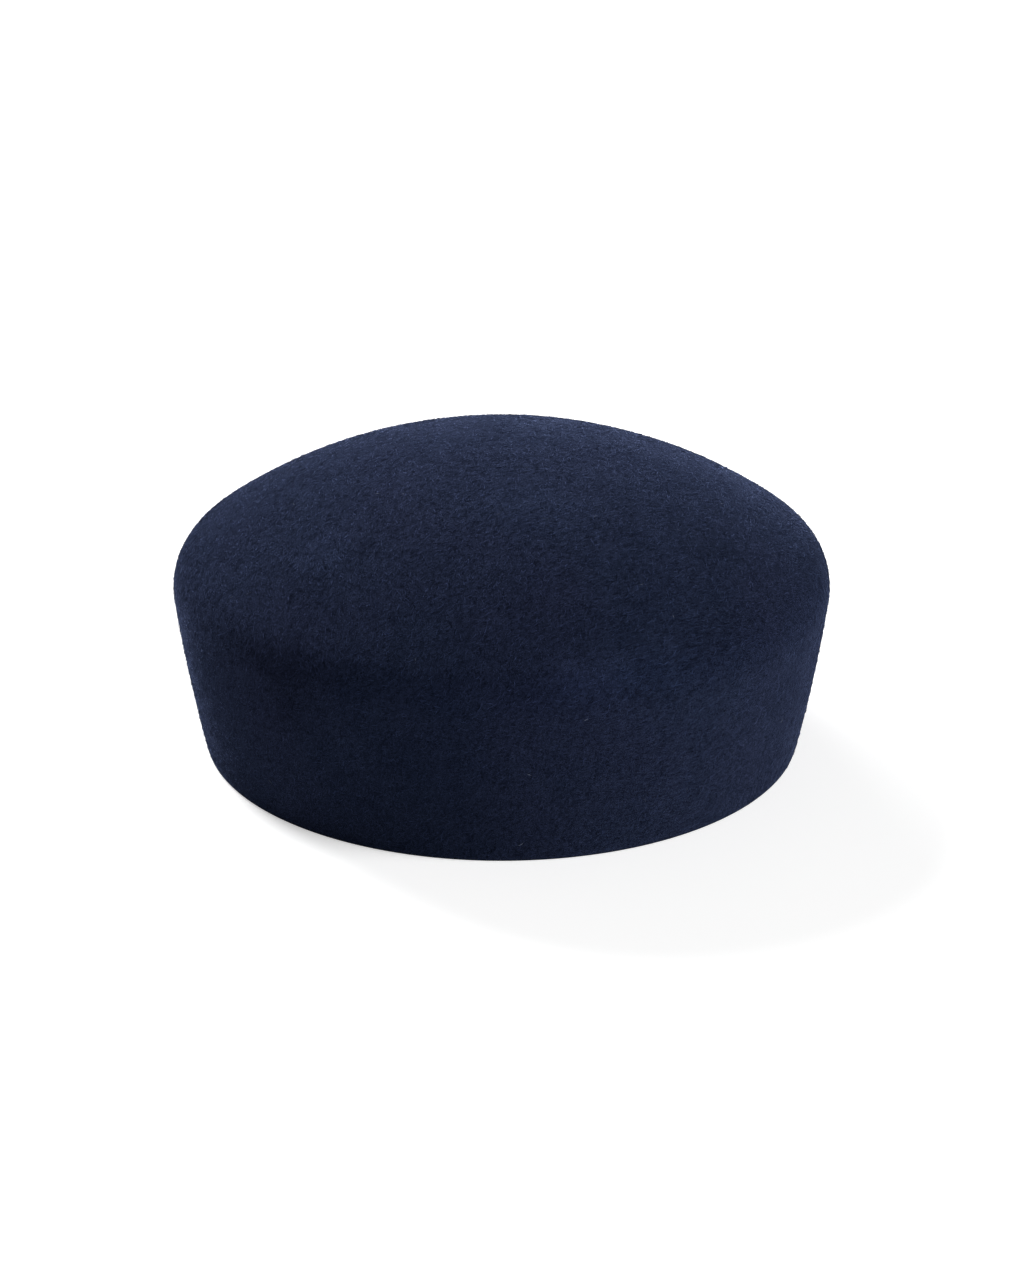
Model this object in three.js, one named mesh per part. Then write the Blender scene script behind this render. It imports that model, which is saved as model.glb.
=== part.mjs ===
// A pillbox hat: one felt hood, blocked into a domed crown that overhangs a plain, cut edge.
// Millimetres, +Z up. The origin is on the surface that the hat rests on, under the middle of the
// dome. The wearer faces -Y, so the oval of the plan is longest along Y.
import * as THREE from "three";

// The head opening
const headGirth = 570; // round the inside of the rim
const ovalRatio = 1.12; // front-to-back length of the plan over its width

// The felt
const feltThickness = 2.4;
const edgeRadius = 0.7; // softening of the cut edge, on both sides
const edgeShareOfFelt = 0.45; // the most of the felt that each of those two may take
const feltColour = "#232a44";

// The side view of the crown, measured on the outside across the width
const wallHeight = 54.6; // from the rim up to where the wall and the dome would meet
const overhang = 9.8; // how far that corner stands out past the rim
const wallBow = 0.8; // how far the wall swells past a straight line
const domeRise = 34.7; // from that corner up to the top of the dome
const cornerRadius = 13.5; // rounds the wall into the dome

// Fineness of the faceted surface
const turns = 72;
const domeSteps = 11;
const cornerSteps = 6;
const wallSteps = 4;
const edgeSteps = 2;

const up = Math.PI / 2;
const down = -Math.PI / 2;

// Half the width of an ellipse with this girth and this length over width.
function halfWidthOfOval(girth, ratio) {
  const h = ((ratio - 1) / (ratio + 1)) ** 2;
  return girth / (Math.PI * (1 + ratio) * (1 + h / 4));
}

// The circle that runs through two points, on the side that makes it swell to the right by bow.
function circleThrough(from, to, bow) {
  const chord = to.clone().sub(from);
  const radius = (chord.lengthSq() / 4 + bow ** 2) / (2 * bow);
  const inward = new THREE.Vector2(-chord.y, chord.x).normalize();
  const centre = from.clone().add(to).multiplyScalar(0.5).addScaledVector(inward, radius - bow);
  return { centre, radius };
}

// The circle of this radius that lies inside two others and touches both, on the right-hand side.
function roundingOf(first, second, radius) {
  const between = second.centre.clone().sub(first.centre);
  const gap = between.length();
  const reachFirst = first.radius - radius;
  const reachSecond = second.radius - radius;
  const along = (gap ** 2 + reachFirst ** 2 - reachSecond ** 2) / (2 * gap);
  const across = Math.sqrt(reachFirst ** 2 - along ** 2);
  between.divideScalar(gap);
  const sideways = new THREE.Vector2(-between.y, between.x);
  const centre = first.centre.clone().addScaledVector(between, along).addScaledVector(sideways, across);
  return { centre, radius };
}

// The angle at which one point sees another.
function bearing(from, to) {
  return Math.atan2(to.y - from.y, to.x - from.x);
}

// Points along an arc, both ends included.
function arc(centre, radius, fromAngle, toAngle, steps) {
  const points = [];
  for (let i = 0; i <= steps; i++) {
    const angle = THREE.MathUtils.lerp(fromAngle, toAngle, i / steps);
    points.push(new THREE.Vector2(Math.cos(angle), Math.sin(angle)).multiplyScalar(radius).add(centre));
  }
  return points;
}

// The three circles that the outside of the crown is blocked to: wall, corner and dome.
function crownCircles() {
  const rim = new THREE.Vector2(halfWidthOfOval(headGirth, ovalRatio) + feltThickness, 0);
  const breakPoint = new THREE.Vector2(rim.x + overhang, wallHeight);
  const wall = circleThrough(rim, breakPoint, wallBow);
  const domeRadius = (breakPoint.x ** 2 + domeRise ** 2) / (2 * domeRise);
  const top = wallHeight + domeRise;
  const dome = { centre: new THREE.Vector2(0, top - domeRadius), radius: domeRadius };
  const corner = roundingOf(wall, dome, cornerRadius);
  return { wall, corner, dome };
}

// The centre of the little circle that rounds one face of the wall into the flat underside. It lies
// inside the felt, which is inwards (-1) of the outer face and outwards (1) of the inner one.
function edgeCentre(wall, faceRadius, intoFelt, rounding) {
  const reach = faceRadius + intoFelt * rounding;
  const x = wall.centre.x + Math.sqrt(reach ** 2 - (rounding - wall.centre.y) ** 2);
  return new THREE.Vector2(x, rounding);
}

// One face of the felt, inset from the outside, from the rounded edge up to the top of the dome.
function faceOfFelt(circles, inset, edge) {
  const { wall, corner, dome } = circles;
  const foot = bearing(wall.centre, edge);
  const wallTop = bearing(wall.centre, corner.centre);
  const domeFoot = bearing(dome.centre, corner.centre);
  return [
    ...arc(wall.centre, wall.radius - inset, foot, wallTop, wallSteps),
    ...arc(corner.centre, corner.radius - inset, wallTop, domeFoot, cornerSteps).slice(1),
    ...arc(dome.centre, dome.radius - inset, domeFoot, up, domeSteps).slice(1),
  ];
}

// The two faces of the felt in section, each from the flat underside up to the top of the dome.
function feltSection() {
  const circles = crownCircles();
  const rounding = Math.min(edgeRadius, edgeShareOfFelt * feltThickness);
  const { wall } = circles;
  const outerEdge = edgeCentre(wall, wall.radius, -1, rounding);
  const innerEdge = edgeCentre(wall, wall.radius - feltThickness, 1, rounding);
  const outerFoot = bearing(wall.centre, outerEdge);
  const innerFoot = bearing(wall.centre, innerEdge);
  const outside = [
    ...arc(outerEdge, rounding, down, outerFoot, edgeSteps).slice(0, -1),
    ...faceOfFelt(circles, 0, outerEdge),
  ];
  const inside = [
    ...arc(innerEdge, rounding, down, innerFoot - Math.PI, edgeSteps).slice(0, -1),
    ...faceOfFelt(circles, feltThickness, innerEdge),
  ];
  for (const face of [outside, inside]) face.at(-1).x = 0; // exactly on the axis
  return { outside, inside };
}

// The section runs down the inside, round the cut edge and up the outside. It is turned about the
// dome's axis and drawn out to the oval of a head.
function crownGeometry() {
  const { outside, inside } = feltSection();
  const profile = [...inside.reverse(), ...outside];
  const geometry = new THREE.LatheGeometry(profile, turns);
  return geometry.rotateX(Math.PI / 2).scale(1, ovalRatio, 1);
}

function makeCrown() {
  const felt = new THREE.MeshStandardMaterial({ color: feltColour, roughness: 0.95, metalness: 0 });
  const crown = new THREE.Mesh(crownGeometry(), felt);
  crown.name = "crown";
  return crown;
}

const hat = new THREE.Group();
hat.name = "pillbox_hat";
hat.add(makeCrown());

export default hat;
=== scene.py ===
import math

import bmesh
import bpy
from mathutils import Matrix, Vector, noise


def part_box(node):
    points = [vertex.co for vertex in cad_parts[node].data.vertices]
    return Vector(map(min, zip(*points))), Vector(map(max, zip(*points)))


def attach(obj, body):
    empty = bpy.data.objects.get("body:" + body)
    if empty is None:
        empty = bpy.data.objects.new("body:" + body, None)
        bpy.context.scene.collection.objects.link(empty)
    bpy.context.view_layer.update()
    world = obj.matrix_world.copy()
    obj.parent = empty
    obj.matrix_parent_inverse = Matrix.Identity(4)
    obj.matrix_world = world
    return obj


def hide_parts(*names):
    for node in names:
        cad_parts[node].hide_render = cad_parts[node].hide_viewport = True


# A navy felt pillbox hat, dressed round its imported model. Metres, +Z up, the wearer faces -Y.
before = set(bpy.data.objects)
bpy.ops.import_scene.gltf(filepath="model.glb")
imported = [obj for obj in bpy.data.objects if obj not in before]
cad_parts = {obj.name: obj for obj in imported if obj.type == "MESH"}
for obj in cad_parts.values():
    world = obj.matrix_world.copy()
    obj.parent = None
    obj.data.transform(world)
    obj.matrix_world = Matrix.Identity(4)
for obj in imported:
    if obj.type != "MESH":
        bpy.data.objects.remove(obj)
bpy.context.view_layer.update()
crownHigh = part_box("crown")[1]
print("frame loaded")


tiny = 1e-6  # anything shorter counts as nothing


# Node helpers

def addNode(tree, kind, inputs=None, **settings):
    node = tree.nodes.new(kind)
    for name, value in settings.items():
        setattr(node, name, value)
    for name, value in (inputs or {}).items():
        socket = node.inputs[name]
        if isinstance(value, bpy.types.NodeSocket):
            tree.links.new(value, socket)
        else:
            socket.default_value = value
    return node


def addGroup(name, kind, inputs, outputs):
    # inputs and outputs are rows of (name, socket type, default)
    group = bpy.data.node_groups.new(name, kind)
    for label, socketType, default in inputs:
        socket = group.interface.new_socket(label, in_out="INPUT", socket_type=socketType)
        if default is not None:
            socket.default_value = default
    for label, socketType in outputs:
        group.interface.new_socket(label, in_out="OUTPUT", socket_type=socketType)
    return group, group.nodes.new("NodeGroupInput").outputs, group.nodes.new("NodeGroupOutput").inputs


def mixSockets(tree, kind, factor, first, second, **settings):
    # the Mix node has sockets of every kind, told apart only by their identifiers
    node = addNode(tree, "ShaderNodeMix", data_type={"Color": "RGBA", "Vector": "VECTOR"}[kind], **settings)
    values = {"Factor_Float": factor, f"A_{kind}": first, f"B_{kind}": second}
    for socket in node.inputs:
        value = values.get(socket.identifier)
        if isinstance(value, bpy.types.NodeSocket):
            tree.links.new(value, socket)
        elif value is not None:
            socket.default_value = value
    return next(s for s in node.outputs if s.identifier == f"Result_{kind}")


def mixColour(tree, factor, first, second, blend="MIX"):
    return mixSockets(tree, "Color", factor, first, second, blend_type=blend)


# Felt materials

feltLook = {
    "deep": (0.0088, 0.0138, 0.0335, 1),  # navy where the nap lies flat
    "pale": (0.0123, 0.0184, 0.0420, 1),  # navy where it is brushed up
    "plum": (0.0140, 0.0156, 0.0395, 1),  # a warmer cast in broad patches
    "patchSize": 0.011,
    "castSize": 0.045,
    "streakLength": 0.0026,
    "streakWidth": 0.0004,
    "streakTurn": math.radians(-35),  # about the upright axis
    "curlSize": 0.0007,
    "curlWidth": 0.045,
    "grainDepth": 0.00014,
    "grainStrength": 0.8,
    "groundShade": (0.1, 1.45),  # darkest between the fibres, brightest on them: fibre tone, partly painted shade in the gaps between them
    "roughness": 0.92,
    "sheenTint": (0.303, 0.382, 0.705, 1),
    "sheenWeight": 0.265,
    "sheenRoughness": 0.5,
    "bloomStart": 0.72,  # past this share of turning away, the felt's fuzz catches more light
    "bloomWeight": 0.5,  # the sheen at the outline; with no more than sheenWeight there is no bloom
    "lean": 0.85,  # how far a strand is shaded like the felt under it
    "wallShades": (0.75, 2.5),  # darkest and brightest strands of the nap
    "domeShades": (0.55, 3.7),
    "shadesChange": (0.036, 0.066),  # the heights between which the one turns into the other
}


def makePatchGroup():
    group, given, out = addGroup(
        "feltPatches",
        "ShaderNodeTree",
        [
            ("Deep", "NodeSocketColor", (0, 0, 0, 1)),
            ("Pale", "NodeSocketColor", (1, 1, 1, 1)),
            ("Cast", "NodeSocketColor", (1, 1, 1, 1)),
            ("Patch Size", "NodeSocketFloat", 0.01),
            ("Cast Size", "NodeSocketFloat", 0.05),
        ],
        [("Colour", "NodeSocketColor")],
    )
    place = addNode(group, "ShaderNodeTexCoord").outputs["Object"]
    patchScale = addNode(group, "ShaderNodeMath", {0: 1.0, 1: given["Patch Size"]}, operation="DIVIDE")
    castScale = addNode(group, "ShaderNodeMath", {0: 1.0, 1: given["Cast Size"]}, operation="DIVIDE")
    patches = addNode(group, "ShaderNodeTexNoise", {"Vector": place, "Scale": patchScale.outputs[0],
                                                    "Detail": 4.0, "Roughness": 0.62})
    cast = addNode(group, "ShaderNodeTexNoise", {"Vector": place, "Scale": castScale.outputs[0],
                                                 "Detail": 2.0, "Roughness": 0.5})
    patchMask = addNode(group, "ShaderNodeMapRange", {"Value": patches.outputs["Fac"], "From Min": 0.32,
                                                      "From Max": 0.68})
    castMask = addNode(group, "ShaderNodeMapRange", {"Value": cast.outputs["Fac"], "From Min": 0.42,
                                                     "From Max": 0.72, "To Max": 0.4})
    tone = mixColour(group, patchMask.outputs["Result"], given["Deep"], given["Pale"])
    group.links.new(mixColour(group, castMask.outputs["Result"], tone, given["Cast"]), out["Colour"])
    return group


def makeGrainGroup():
    group, given, out = addGroup(
        "feltGrain",
        "ShaderNodeTree",
        [
            ("Streak Length", "NodeSocketFloat", 0.004),
            ("Streak Width", "NodeSocketFloat", 0.0007),
            ("Turn", "NodeSocketFloat", 0.0),
            ("Curl Size", "NodeSocketFloat", 0.0013),
            ("Curl Width", "NodeSocketFloat", 0.04),
        ],
        [("Height", "NodeSocketFloat"), ("Mask", "NodeSocketFloat")],
    )
    place = addNode(group, "ShaderNodeTexCoord").outputs["Object"]

    def inverse(socket, times=1.0):
        return addNode(group, "ShaderNodeMath", {0: times, 1: socket}, operation="DIVIDE").outputs[0]

    # short streaks along the way that the nap was brushed
    turned = addNode(group, "ShaderNodeVectorRotate", {"Vector": place, "Angle": given["Turn"]},
                     rotation_type="Z_AXIS")
    across = inverse(given["Streak Width"])
    stretch = addNode(group, "ShaderNodeCombineXYZ", {"X": inverse(given["Streak Length"]), "Y": across,
                                                      "Z": across})
    stretched = addNode(group, "ShaderNodeVectorMath", {0: turned.outputs[0], 1: stretch.outputs[0]},
                        operation="MULTIPLY")
    streaks = addNode(group, "ShaderNodeTexNoise", {"Vector": stretched.outputs[0], "Scale": 1.0,
                                                    "Detail": 3.0, "Roughness": 0.6, "Distortion": 1.2})
    total = streaks.outputs["Fac"]

    # curly fibres: the lines where a crumpled noise crosses its middle value, in two layers,
    # the second one finer and moved aside
    for times, aside in ((1.0, (0, 0, 0)), (1.45, (3.1, 1.7, 0))):
        moved = addNode(group, "ShaderNodeVectorMath", {0: place, 1: aside})
        crumple = addNode(group, "ShaderNodeTexNoise",
                          {"Vector": moved.outputs[0], "Scale": inverse(given["Curl Size"], times),
                           "Detail": 1.0, "Roughness": 0.5, "Distortion": 1.6})
        offset = addNode(group, "ShaderNodeMath", {0: crumple.outputs["Fac"], 1: 0.5},
                         operation="SUBTRACT")
        away = addNode(group, "ShaderNodeMath", {0: offset.outputs[0]}, operation="ABSOLUTE")
        fibre = addNode(group, "ShaderNodeMapRange",
                        {"Value": away.outputs[0], "From Min": 0.0, "From Max": given["Curl Width"],
                         "To Min": 0.3, "To Max": 0.0}, interpolation_type="SMOOTHSTEP")
        total = addNode(group, "ShaderNodeMath", {0: total, 1: fibre.outputs["Result"]},
                        operation="ADD").outputs[0]
    mask = addNode(group, "ShaderNodeMapRange", {"Value": total, "From Min": 0.36, "From Max": 0.92})
    group.links.new(total, out["Height"])
    group.links.new(mask.outputs["Result"], out["Mask"])
    return group


# Painted light and shade: soft marks painted paler (change above 0) or darker (change below 0)
paintedLightMarks = {
    # name: place, radius, change
    # painted highlights along the crown edge right of the front, painted shade on the left wall and right
    # dome
    "edgeRightOfFront": ((0.0203, -0.1024, 0.0575), 0.012, 0.42),
    "edgeRightMiddle": ((0.0314, -0.0995, 0.0566), 0.012, 0.36),
    "edgeRight": ((0.0450, -0.0925, 0.0572), 0.013, 0.3),
    "wallLeft": ((-0.0600, -0.0840, 0.0440), 0.018, -0.24),
    "domeLeft": ((-0.0504, -0.0485, 0.0744), 0.015, 0.26),
    "domeFront": ((0.0095, -0.0402, 0.0848), 0.024, 0.15),
    "domeRight": ((0.0640, -0.0390, 0.0710), 0.02, -0.16),
}
paintedLightWander = 0.007  # how far the marks' outlines stray
paintedLightCrumples = 130.0  # how often they stray, to the metre


def makePaintedLightGroup():
    group, given, out = addGroup(
        "feltPaintedLight",
        "ShaderNodeTree",
        [
            ("Wander", "NodeSocketFloat", 0.006),
            ("Crumples", "NodeSocketFloat", 130.0),
        ],
        [("Shade", "NodeSocketFloat")],
    )
    place = addNode(group, "ShaderNodeTexCoord").outputs["Object"]
    crumple = addNode(group, "ShaderNodeTexNoise", {"Vector": place, "Scale": given["Crumples"],
                                                    "Detail": 3.0})
    middle = addNode(group, "ShaderNodeVectorMath", {0: crumple.outputs["Color"], 1: (0.5, 0.5, 0.5)},
                     operation="SUBTRACT")
    stray = addNode(group, "ShaderNodeVectorMath", {0: middle.outputs[0], "Scale": given["Wander"]},
                    operation="SCALE")
    moved = addNode(group, "ShaderNodeVectorMath", {0: place, 1: stray.outputs[0]}).outputs[0]
    total = 1.0
    for centre, radius, change in paintedLightMarks.values():
        away = addNode(group, "ShaderNodeVectorMath", {0: moved, 1: centre}, operation="DISTANCE")
        mark = addNode(group, "ShaderNodeMapRange",
                       {"Value": away.outputs["Value"], "From Min": 0.0, "From Max": radius,
                        "To Min": change, "To Max": 0.0}, interpolation_type="SMOOTHSTEP")
        total = addNode(group, "ShaderNodeMath", {0: total, 1: mark.outputs["Result"]},
                        operation="ADD").outputs[0]
    group.links.new(total, out["Shade"])
    return group


patchGroup = makePatchGroup()
grainGroup = makeGrainGroup()
paintedLightGroup = makePaintedLightGroup()


def feltColours(tree, look):
    patches = addNode(tree, "ShaderNodeGroup", node_tree=patchGroup)
    for label, key in (("Deep", "deep"), ("Pale", "pale"), ("Cast", "plum"),
                       ("Patch Size", "patchSize"), ("Cast Size", "castSize")):
        patches.inputs[label].default_value = look[key]
    return patches.outputs["Colour"]


def shadeFelt(tree, shader, look, mask, shades, normal):
    # the same mask dims or brightens both the felt's colour and its sheen
    fibres = addNode(tree, "ShaderNodeMapRange", {"Value": mask, "To Min": shades[0], "To Max": shades[1]})
    # the marks' painted light and shade dims or brightens the colour and the sheen tint as well
    paintedLightNode = addNode(tree, "ShaderNodeGroup", node_tree=paintedLightGroup)
    paintedLightNode.inputs["Wander"].default_value = paintedLightWander
    paintedLightNode.inputs["Crumples"].default_value = paintedLightCrumples
    shading = addNode(tree, "ShaderNodeMath", {0: fibres.outputs["Result"], 1: paintedLightNode.outputs["Shade"]},
                      operation="MULTIPLY").outputs[0]
    tree.links.new(mixColour(tree, 1.0, feltColours(tree, look), shading, "MULTIPLY"),
                   shader.inputs["Base Color"])
    tree.links.new(normal, shader.inputs["Normal"])
    tree.links.new(mixColour(tree, 1.0, look["sheenTint"], shading, "MULTIPLY"),
                   shader.inputs["Sheen Tint"])


def setSheen(shader, look):
    shader.inputs["Sheen Weight"].default_value = look["sheenWeight"]
    shader.inputs["Sheen Roughness"].default_value = look["sheenRoughness"]
    shader.inputs["Roughness"].default_value = look["roughness"]
    shader.inputs["Specular IOR Level"].default_value = 0.0


def addBloom(tree, shader, look, away):
    # away runs from 0 where the felt faces the eye to 1 at its outline
    fuzz = addNode(tree, "ShaderNodeMapRange",
                   {"Value": away.outputs["Facing"], "From Min": look["bloomStart"], "From Max": 1.0,
                    "To Min": look["sheenWeight"], "To Max": look["bloomWeight"]})
    tree.links.new(fuzz.outputs["Result"], shader.inputs["Sheen Weight"])


def makeFelt(name, look):
    material = bpy.data.materials.new(name)
    material.use_nodes = True
    tree = material.node_tree
    shader = tree.nodes["Principled BSDF"]
    grain = addNode(tree, "ShaderNodeGroup", node_tree=grainGroup)
    for label, key in (("Streak Length", "streakLength"), ("Streak Width", "streakWidth"),
                       ("Turn", "streakTurn"), ("Curl Size", "curlSize"), ("Curl Width", "curlWidth")):
        grain.inputs[label].default_value = look[key]
    bump = addNode(tree, "ShaderNodeBump",
                   {"Height": grain.outputs["Height"], "Strength": look["grainStrength"],
                    "Distance": look["grainDepth"]})
    shadeFelt(tree, shader, look, grain.outputs["Mask"], look["groundShade"], bump.outputs["Normal"])
    setSheen(shader, look)
    if look["bloomWeight"] > look["sheenWeight"]:
        addBloom(tree, shader, look, addNode(tree, "ShaderNodeLayerWeight", {"Blend": 0.5}))
    return material


def makeStrandFelt(name, look):
    # single strands of the nap: the felt's colours, each strand in its own tone
    material = bpy.data.materials.new(name)
    material.use_nodes = True
    tree = material.node_tree
    shader = tree.nodes["Principled BSDF"]
    tone = addNode(tree, "ShaderNodeAttribute", attribute_name="tone")
    fewPale = addNode(tree, "ShaderNodeMath", {0: tone.outputs["Fac"], 1: 2.0}, operation="POWER")
    # a strand lies in the felt, so its shading leans to the way that the felt faces
    lie = addNode(tree, "ShaderNodeAttribute", attribute_name="lie")
    own = addNode(tree, "ShaderNodeNewGeometry")
    leaning = mixSockets(tree, "Vector", look["lean"], own.outputs["Normal"], lie.outputs["Vector"])
    normal = addNode(tree, "ShaderNodeVectorMath", {0: leaning}, operation="NORMALIZE").outputs[0]
    place = addNode(tree, "ShaderNodeTexCoord").outputs["Object"]
    height = addNode(tree, "ShaderNodeSeparateXYZ", {"Vector": place}).outputs["Z"]
    low, high = look["shadesChange"]
    shades = []
    for wall, dome in zip(look["wallShades"], look["domeShades"]):
        shade = addNode(tree, "ShaderNodeMapRange", {"Value": height, "From Min": low, "From Max": high,
                                                     "To Min": wall, "To Max": dome})
        shades.append(shade.outputs["Result"])
    shadeFelt(tree, shader, look, fewPale.outputs[0], shades, normal)
    setSheen(shader, look)
    addBloom(tree, shader, look, addNode(tree, "ShaderNodeLayerWeight", {"Blend": 0.5, "Normal": normal}))
    return material


insideLook = {**feltLook, "sheenWeight": 0.1, "bloomWeight": 0.1, "streakLength": 0.002}
edgeLook = {**feltLook, "sheenWeight": 0.08, "bloomWeight": 0.08, "streakLength": 0.0009,
            "streakWidth": 0.0005, "grainDepth": 0.0002}
lintLook = {**feltLook, "deep": (0.09, 0.11, 0.17, 1), "pale": (0.2, 0.23, 0.3, 1),
            "plum": (0.14, 0.15, 0.2, 1), "wallShades": (0.6, 1.4), "domeShades": (0.6, 1.4)}
outerFelt = makeFelt("navyFeltOutside", feltLook)
innerFelt = makeFelt("navyFeltInside", insideLook)
cutFelt = makeFelt("navyFeltCutEdge", edgeLook)
napFelt = makeStrandFelt("navyNap", feltLook)
lintFelt = makeStrandFelt("paleLint", lintLook)
print("materials made")


# The felt shell, blocked in one piece

hood = {
    "rimHalfWidth": 0.0879,  # outside, across the width
    "wallHeight": 0.0546,  # from the rim up to where the wall and the dome would meet
    "overhang": 0.0098,  # how far that corner stands out past the rim
    "wallBow": 0.0008,
    "cornerRadius": 0.0135,
    "feltThickness": 0.0024,
    "edgeRadius": 0.0007,
    "turns": 240,
    "domeSteps": 36,
    "cornerSteps": 14,
    "wallSteps": 26,
    "edgeSteps": 4,
    "unevenness": 0.00015,  # how far the hand-blocked felt strays from its block
    "unevenPatch": 0.035,
    "flatRim": 0.002,  # below this height it keeps to the block, so that the rim stands flat
    "rimBlend": 0.012,  # the height above that over which it comes to stray
}
outsideSlot, insideSlot, edgeSlot = range(3)  # the shell's materials, in their order


def circleThrough(start, end, bow):
    chord = end - start
    radius = (chord.length_squared / 4 + bow ** 2) / (2 * bow)
    inward = Vector((-chord.y, chord.x)).normalized()
    return (start + end) / 2 + inward * (radius - bow), radius


def roundingOf(first, firstRadius, second, secondRadius, radius):
    between = second - first
    gap = between.length
    reach = firstRadius - radius
    along = (gap ** 2 + reach ** 2 - (secondRadius - radius) ** 2) / (2 * gap)
    between.normalize()
    return first + between * along + Vector((-between.y, between.x)) * math.sqrt(reach ** 2 - along ** 2)


def bearing(centre, point):
    return math.atan2(point.y - centre.y, point.x - centre.x)


def turnPoint(bm, vert, centre, angle, steps):
    # draws an arc behind the profile's last point, clockwise for a positive angle
    made = bmesh.ops.spin(bm, geom=[vert], cent=(centre.x, 0, centre.y), axis=(0, 1, 0), angle=angle,
                          steps=steps, use_merge=False, use_normal_flip=False, use_duplicate=False)
    return next(g for g in made["geom_last"] if isinstance(g, bmesh.types.BMVert))


def drawProfile(bm, size, height):
    rim = Vector((size["rimHalfWidth"], 0))
    breakPoint = Vector((rim.x + size["overhang"], size["wallHeight"]))
    rise = height - size["wallHeight"]
    domeRadius = (breakPoint.x ** 2 + rise ** 2) / (2 * rise)
    dome = Vector((0, height - domeRadius))
    wall, wallRadius = circleThrough(rim, breakPoint, size["wallBow"])
    corner = roundingOf(wall, wallRadius, dome, domeRadius, size["cornerRadius"])
    soft = size["edgeRadius"]

    def edgeCentre(reach):
        return Vector((wall.x + math.sqrt(reach ** 2 - (soft - wall.y) ** 2), soft))

    outerEdge = edgeCentre(wallRadius - soft)
    innerEdge = edgeCentre(wallRadius - size["feltThickness"] + soft)
    domeFoot = bearing(dome, corner)
    wallTop = bearing(wall, corner)
    quarter = math.pi / 2

    last = bm.verts.new((0, 0, height))
    last = turnPoint(bm, last, dome, quarter - domeFoot, size["domeSteps"])
    last = turnPoint(bm, last, corner, domeFoot - wallTop, size["cornerSteps"])
    last = turnPoint(bm, last, wall, wallTop - bearing(wall, outerEdge), size["wallSteps"])
    last = turnPoint(bm, last, outerEdge, bearing(wall, outerEdge) + quarter, size["edgeSteps"])
    underside = bmesh.ops.extrude_vert_indiv(bm, verts=[last])["verts"][0]
    underside.co.x = innerEdge.x
    last = turnPoint(bm, underside, innerEdge, quarter - bearing(wall, innerEdge), size["edgeSteps"])
    last = turnPoint(bm, last, wall, bearing(wall, innerEdge) - wallTop, size["wallSteps"])
    last = turnPoint(bm, last, corner, wallTop - domeFoot, size["cornerSteps"])
    last = turnPoint(bm, last, dome, domeFoot - quarter, size["domeSteps"])
    last.co.x = 0


def sortFaces(bm):
    # the operators leave the faces in no fixed order, and the nap is drawn face by face
    bm.verts.index_update()
    ordered = sorted(bm.faces, key=lambda face: sorted(vert.index for vert in face.verts))
    for place, face in enumerate(ordered):
        face.index = place
    bm.faces.sort()


heart = Vector((0, 0, 0.02))  # a point well inside the hollow


def isOutside(face):
    return face.normal.dot(face.calc_center_median() - heart) > 0


def makeShell(size):
    halfWidth, halfLength, height = crownHigh
    bm = bmesh.new()
    drawProfile(bm, size, height)
    bmesh.ops.spin(bm, geom=bm.verts[:] + bm.edges[:], cent=(0, 0, 0), axis=(0, 0, 1),
                   angle=2 * math.pi, steps=size["turns"], use_merge=True)
    bmesh.ops.remove_doubles(bm, verts=bm.verts, dist=tiny)
    bmesh.ops.scale(bm, vec=(1, halfLength / halfWidth, 1), verts=bm.verts)
    bmesh.ops.recalc_face_normals(bm, faces=bm.faces)
    sortFaces(bm)
    for vert in bm.verts:
        freed = min(max(vert.co.z - size["flatRim"], 0) / size["rimBlend"], 1)
        stray = noise.noise(vert.co / size["unevenPatch"]) * size["unevenness"] * freed
        vert.co += (vert.co - heart).normalized() * stray
    bm.normal_update()
    for face in bm.faces:
        face.smooth = True
        if face.calc_center_median().z < size["edgeRadius"]:
            face.material_index = edgeSlot
        elif not isOutside(face):
            face.material_index = insideSlot
    mesh = bpy.data.meshes.new("crown_felt")
    bm.to_mesh(mesh)
    bm.free()
    for material in (outerFelt, innerFelt, cutFelt):
        mesh.materials.append(material)
    shell = bpy.data.objects.new("crown_felt", mesh)
    bpy.context.scene.collection.objects.link(shell)
    return shell


shell = makeShell(hood)
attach(shell, "root")
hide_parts("crown")
print("shell blocked:", len(shell.data.polygons), "faces")


# The nap: short curled strands that lie on the felt

strand = {
    "length": 0.0023,
    "thickness": 0.00014,
    "flatness": 0.65,  # height over width: blocking presses the strands flat
    "sides": 3,
    "lift": 0.00012,  # how high its middle stands above the felt
    "rootDepth": 0.00003,  # how far its ends go into the felt
    # degrees that the first two thirds and the last third of each kind of strand turn through
    "kinds": ((14, 10), (40, 25), (45, -60), (80, 50), (120, 80), (25, -35)),
}


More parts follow.
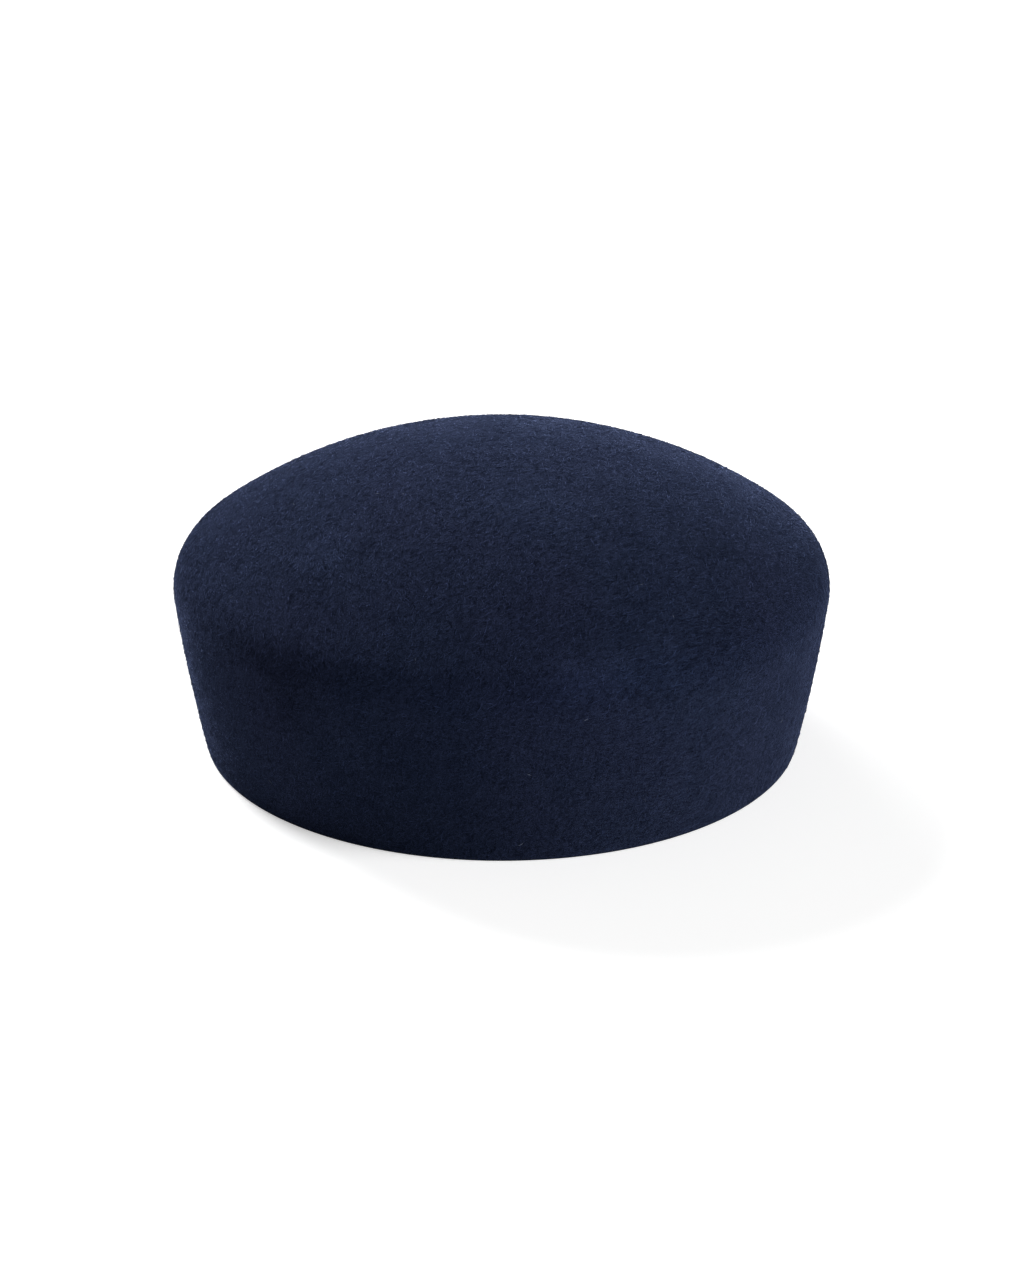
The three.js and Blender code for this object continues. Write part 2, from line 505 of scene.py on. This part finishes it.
def makeStrand(size, name, firstTurn, lastTurn):
    bm = bmesh.new()
    made = bmesh.ops.create_circle(bm, cap_ends=False, radius=size["thickness"] / 2,
                                   segments=size["sides"])
    bmesh.ops.rotate(bm, verts=made["verts"], matrix=Matrix.Rotation(math.pi / 2, 3, "Y"))
    rings = [made["verts"]]
    heading = 0.0
    stepLength = size["length"] / 3
    for turn, steps in ((firstTurn, 2), (lastTurn, 1)):
        angle = math.radians(turn)
        radius = stepLength * steps / angle
        middle = sum((v.co for v in rings[-1]), Vector()) / size["sides"]
        centre = middle + Vector((-math.sin(heading), math.cos(heading), 0)) * radius
        for _ in range(steps):
            lastRing = rings[-1]
            edges = [e for e in bm.edges if all(v in lastRing for v in e.verts)]
            spun = bmesh.ops.spin(bm, geom=lastRing + edges, cent=centre, axis=(0, 0, 1),
                                  angle=angle / steps, steps=1, use_merge=False)
            rings.append([g for g in spun["geom_last"] if isinstance(g, bmesh.types.BMVert)])
        heading += angle
    middles = [sum((v.co for v in ring), Vector()) / size["sides"] for ring in rings]
    bmesh.ops.pointmerge(bm, verts=rings[0], merge_co=middles[0])
    bmesh.ops.pointmerge(bm, verts=rings[-1], merge_co=middles[-1])
    # the chord goes along X with its middle at the origin, and the strand arches over the felt
    chord = middles[-1] - middles[0]
    bmesh.ops.translate(bm, verts=bm.verts, vec=-(middles[0] + middles[-1]) / 2)
    bmesh.ops.rotate(bm, verts=bm.verts, matrix=Matrix.Rotation(-math.atan2(chord.y, chord.x), 3, "Z"))
    bmesh.ops.scale(bm, vec=(1, 1, size["flatness"]), verts=bm.verts)
    half = chord.length / 2
    for vert in bm.verts:
        share = min(abs(vert.co.x) / half, 1)
        vert.co.z += size["lift"] * (1 - share ** 2) - size["rootDepth"]
    bmesh.ops.recalc_face_normals(bm, faces=bm.faces)
    for face in bm.faces:
        face.smooth = True
    mesh = bpy.data.meshes.new(name)
    bm.to_mesh(mesh)
    bm.free()
    return bpy.data.objects.new(name, mesh)


def makeStrands(size):
    collection = bpy.data.collections.new("strands")
    for index, (firstTurn, lastTurn) in enumerate(size["kinds"]):
        collection.objects.link(makeStrand(size, f"strand{index}", firstTurn, lastTurn))
    return collection


def makeLayNapGroup():
    group, given, out = addGroup(
        "layNap",
        "GeometryNodeTree",
        [
            ("Geometry", "NodeSocketGeometry", None),
            ("Strands", "NodeSocketCollection", None),
            ("Density", "NodeSocketFloat", 1e6),
            ("Seed", "NodeSocketInt", 0),
            ("Tilt", "NodeSocketVector", (0, 0, 0)),
            ("Smallest", "NodeSocketFloat", 0.6),
            ("Largest", "NodeSocketFloat", 1.4),
            ("Lowest", "NodeSocketFloat", 0.0),
            ("Material", "NodeSocketMaterial", None),
        ],
        [("Geometry", "NodeSocketGeometry")],
    )
    points = addNode(group, "GeometryNodeDistributePointsOnFaces",
                     {"Mesh": given["Geometry"], "Density": given["Density"], "Seed": given["Seed"]},
                     distribute_method="RANDOM")
    place = addNode(group, "GeometryNodeInputPosition")
    height = addNode(group, "ShaderNodeSeparateXYZ", {"Vector": place.outputs[0]})
    tooLow = addNode(group, "FunctionNodeCompare", {0: height.outputs["Z"], 1: given["Lowest"]},
                     data_type="FLOAT", operation="LESS_THAN")
    kept = addNode(group, "GeometryNodeDeleteGeometry",
                   {"Geometry": points.outputs["Points"], "Selection": tooLow.outputs[0]}, domain="POINT")
    brush = addNode(group, "GeometryNodeInputNamedAttribute", {"Name": "brush"},
                    data_type="FLOAT_VECTOR")
    facing = addNode(group, "FunctionNodeAxesToRotation",
                     {"Primary Axis": points.outputs["Normal"], "Secondary Axis": brush.outputs[0]},
                     primary_axis="Z", secondary_axis="X")
    most = addNode(group, "ShaderNodeVectorMath", {0: given["Tilt"], "Scale": -1.0}, operation="SCALE")
    stray = addNode(group, "FunctionNodeRandomValue", {0: most.outputs[0], 1: given["Tilt"]},
                    data_type="FLOAT_VECTOR")
    strayTurn = addNode(group, "FunctionNodeEulerToRotation", {0: stray.outputs[0]})
    turned = addNode(group, "FunctionNodeRotateRotation",
                     {"Rotation": facing.outputs[0], "Rotate By": strayTurn.outputs[0]},
                     rotation_space="LOCAL")
    size = addNode(group, "FunctionNodeRandomValue",
                   {2: given["Smallest"], 3: given["Largest"], "Seed": 3}, data_type="FLOAT")
    kinds = addNode(group, "GeometryNodeCollectionInfo",
                    {"Collection": given["Strands"], "Separate Children": True, "Reset Children": True})
    facingOut = addNode(group, "GeometryNodeStoreNamedAttribute",
                        {"Geometry": kept.outputs[0], "Name": "lie",
                         "Value": points.outputs["Normal"]}, data_type="FLOAT_VECTOR", domain="POINT")
    laid = addNode(group, "GeometryNodeInstanceOnPoints",
                   {"Points": facingOut.outputs[0], "Instance": kinds.outputs[0],
                    "Pick Instance": True, "Rotation": turned.outputs[0], "Scale": size.outputs[1]})
    tone = addNode(group, "FunctionNodeRandomValue", {"Seed": 7}, data_type="FLOAT")
    toned = addNode(group, "GeometryNodeStoreNamedAttribute",
                    {"Geometry": laid.outputs[0], "Name": "tone", "Value": tone.outputs[1]},
                    data_type="FLOAT", domain="INSTANCE")
    real = addNode(group, "GeometryNodeRealizeInstances", {"Geometry": toned.outputs[0]})
    smooth = addNode(group, "GeometryNodeSetShadeSmooth", {"Geometry": real.outputs[0]})
    coated = addNode(group, "GeometryNodeSetMaterial",
                     {"Geometry": smooth.outputs[0], "Material": given["Material"]})
    group.links.new(coated.outputs[0], out["Geometry"])
    return group


brushing = {
    "top": (0.42, 0.91, 0),  # the way that the top is brushed
    "wallRise": 0.9,  # how much the wall is brushed up for each 1 that it is brushed round
    "turnStart": 0.2,  # how far the felt faces up where the wall's way starts to turn into the top's
    "turnSpan": 0.4,  # how much further up it faces where that turn is over
    "swirl": 0.6,
    "swirlSize": 0.018,
    "seed": 5,
}
noise.seed_set(brushing["seed"])  # without a seed, noise_vector differs from run to run


def brushDirection(place, normal):
    # the top is brushed across in one direction, the wall round and up, with slow swirls
    top = Vector(brushing["top"])
    sideways = Vector((-normal.y, normal.x, 0))
    rise = Vector((0, 0, brushing["wallRise"]))
    wall = sideways.normalized() + rise if sideways.length > tiny else top
    share = min(max((normal.z - brushing["turnStart"]) / brushing["turnSpan"], 0), 1)
    swirl = noise.noise_vector(place / brushing["swirlSize"]) * brushing["swirl"]
    return (wall * (1 - share) + top * share + swirl).normalized()


def makeBed(name, picks):
    # a copy of the shell's faces that one piece of nap lies on, with the way it is brushed
    bm = bmesh.new()
    bm.from_mesh(shell.data)
    bmesh.ops.delete(bm, geom=[f for f in bm.faces if not picks(f)], context="FACES")
    bm.normal_update()
    brush = bm.verts.layers.float_vector.new("brush")
    for vert in bm.verts:
        vert[brush] = brushDirection(vert.co, vert.normal)
    mesh = bpy.data.meshes.new(name)
    bm.to_mesh(mesh)
    bm.free()
    bed = bpy.data.objects.new(name, mesh)
    bpy.context.scene.collection.objects.link(bed)
    return bed


def layNap(name, picks, look, material):
    piece = makeBed(name, picks)
    modifier = piece.modifiers.new("layNap", "NODES")
    modifier.node_group = layNapGroup
    given = {"Strands": strands, "Density": look["perSquareMm"] * 1e6, "Seed": look["seed"],
             "Tilt": [math.radians(a) for a in look["tilt"]], "Smallest": look["smallest"],
             "Largest": look["largest"], "Lowest": look["lowest"], "Material": material}
    for item in layNapGroup.interface.items_tree:
        if item.in_out == "INPUT" and item.name in given:
            modifier[item.identifier] = given[item.name]
    graph = bpy.context.evaluated_depsgraph_get()
    mesh = bpy.data.meshes.new_from_object(piece.evaluated_get(graph))
    piece.modifiers.clear()
    bed = piece.data
    piece.data = mesh
    bpy.data.meshes.remove(bed)
    mesh.name = name
    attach(piece, "root")
    mesh.calc_loop_triangles()
    print(name, "laid:", len(mesh.loop_triangles), "triangles")


strands = makeStrands(strand)
layNapGroup = makeLayNapGroup()

# tilt is how far a strand may roll, rise and swing out of the brushed direction, in degrees
nap = {"perSquareMm": 0.98, "seed": 11, "tilt": (20, 4, 45), "smallest": 0.55, "largest": 1.35,
       "lowest": 0.0014}  # no strand grows so near the rim that it would reach the floor
insideNap = {**nap, "perSquareMm": 0.05, "seed": 23, "tilt": (20, 4, 180)}
lint = {**nap, "perSquareMm": 0.0012, "seed": 31, "tilt": (20, 8, 180), "smallest": 0.5, "largest": 1.1}

shoulder = {"foot": 0.045, "top": 0.061}  # the heights between which the felt turns over the edge


def faceHeight(face):
    return face.calc_center_median().z


def onDome(face):
    return face.material_index == outsideSlot and faceHeight(face) >= shoulder["top"]


def onShoulder(face):
    return face.material_index == outsideSlot and shoulder["foot"] <= faceHeight(face) < shoulder["top"]


def onWall(face):
    return face.material_index == outsideSlot and faceHeight(face) < shoulder["foot"]


zones = {
    "nap_dome_left": lambda face: onDome(face) and face.calc_center_median().x < 0,
    "nap_dome_right": lambda face: onDome(face) and face.calc_center_median().x >= 0,
    "nap_shoulder": onShoulder,
    "nap_wall_front": lambda face: onWall(face) and face.calc_center_median().y < 0,
    "nap_wall_back": lambda face: onWall(face) and face.calc_center_median().y >= 0,
}
for number, (name, picks) in enumerate(zones.items()):
    layNap(name, picks, {**nap, "seed": nap["seed"] + number}, napFelt)
layNap("nap_inside", lambda face: face.material_index == insideSlot, insideNap, napFelt)
layNap("lint", lambda face: face.material_index == outsideSlot, lint, lintFelt)
print("nap laid")


# Camera, at the photo's angle

camera = {
    "distance": 1.5,
    "elevation": math.radians(20.77),
    "aimHeight": 0.0315,
    "lens": 142.04,
    "sensorWidth": 36,
    "shiftX": 0.00807,
    "shiftY": -0.00591,
}


def makeCamera(setting):
    data = bpy.data.cameras.new("camera")
    data.lens = setting["lens"]
    data.sensor_width = setting["sensorWidth"]
    data.shift_x = setting["shiftX"]
    data.shift_y = setting["shiftY"]
    data.clip_start = 0.1
    data.clip_end = 50
    eye = bpy.data.objects.new("camera", data)
    bpy.context.scene.collection.objects.link(eye)
    back = Vector((0, -math.cos(setting["elevation"]), math.sin(setting["elevation"])))
    eye.location = Vector((0, 0, setting["aimHeight"])) + back * setting["distance"]
    eye.rotation_euler = (math.pi / 2 - setting["elevation"], 0, 0)
    bpy.context.scene.camera = eye


makeCamera(camera)
print("camera set")


# A plain pale floor under soft light

studio = {
    "floorSize": 30.0,
    "floorColour": (0.86, 0.86, 0.86, 1),
    "floorRoughness": 0.9,
    "floorGlow": 0.48,  # lifts the shadows that the camera sees
    "roomLight": 0.15,
    # name, strength, softness in degrees, and the way it comes from: round from the front, and height
    "suns": (
        ("backLow", 2.8, 25, 204, 12),
        ("leftBack", 3.2, 22, 214, 30),
        ("rightFront", 2.6, 40, 60, 30),
    ),
}


def makeFloor(setting):
    bm = bmesh.new()
    bmesh.ops.create_grid(bm, x_segments=2, y_segments=2, size=setting["floorSize"] / 2)
    mesh = bpy.data.meshes.new("floor")
    bm.to_mesh(mesh)
    bm.free()
    material = bpy.data.materials.new("paleFloor")
    material.use_nodes = True
    shader = material.node_tree.nodes["Principled BSDF"]
    shader.inputs["Base Color"].default_value = setting["floorColour"]
    shader.inputs["Roughness"].default_value = setting["floorRoughness"]
    shader.inputs["Specular IOR Level"].default_value = 0.0
    path = addNode(material.node_tree, "ShaderNodeLightPath")
    glow = addNode(material.node_tree, "ShaderNodeMath",
                   {0: path.outputs["Is Camera Ray"], 1: setting["floorGlow"]}, operation="MULTIPLY")
    shader.inputs["Emission Color"].default_value = (1, 1, 1, 1)
    material.node_tree.links.new(glow.outputs[0], shader.inputs["Emission Strength"])
    mesh.materials.append(material)
    floor = bpy.data.objects.new("floor", mesh)
    bpy.context.scene.collection.objects.link(floor)


def makeSun(name, strength, softness, azimuth, elevation):
    data = bpy.data.lights.new(name, "SUN")
    data.energy = strength
    data.angle = math.radians(softness)
    sun = bpy.data.objects.new(name, data)
    bpy.context.scene.collection.objects.link(sun)
    a, e = math.radians(azimuth), math.radians(elevation)
    away = Vector((math.sin(a) * math.cos(e), -math.cos(a) * math.cos(e), math.sin(e)))
    sun.rotation_euler = away.to_track_quat("Z", "Y").to_euler()


def makeWorld(strength):
    world = bpy.data.worlds.new("room")
    world.use_nodes = True
    tree = world.node_tree
    tree.nodes.clear()
    lit = addNode(tree, "ShaderNodeBackground", {"Color": (1, 1, 1, 1), "Strength": strength})
    seen = addNode(tree, "ShaderNodeBackground", {"Color": (1, 1, 1, 1), "Strength": 1.0})
    path = addNode(tree, "ShaderNodeLightPath")
    mixed = addNode(tree, "ShaderNodeMixShader", {0: path.outputs["Is Camera Ray"]})
    tree.links.new(lit.outputs[0], mixed.inputs[1])
    tree.links.new(seen.outputs[0], mixed.inputs[2])
    out = addNode(tree, "ShaderNodeOutputWorld")
    tree.links.new(mixed.outputs[0], out.inputs["Surface"])
    bpy.context.scene.world = world


makeFloor(studio)
for row in studio["suns"]:
    makeSun(*row)
makeWorld(studio["roomLight"])
view = bpy.context.scene.view_settings
view.view_transform = "Standard"
view.look = "None"
print("studio lit")
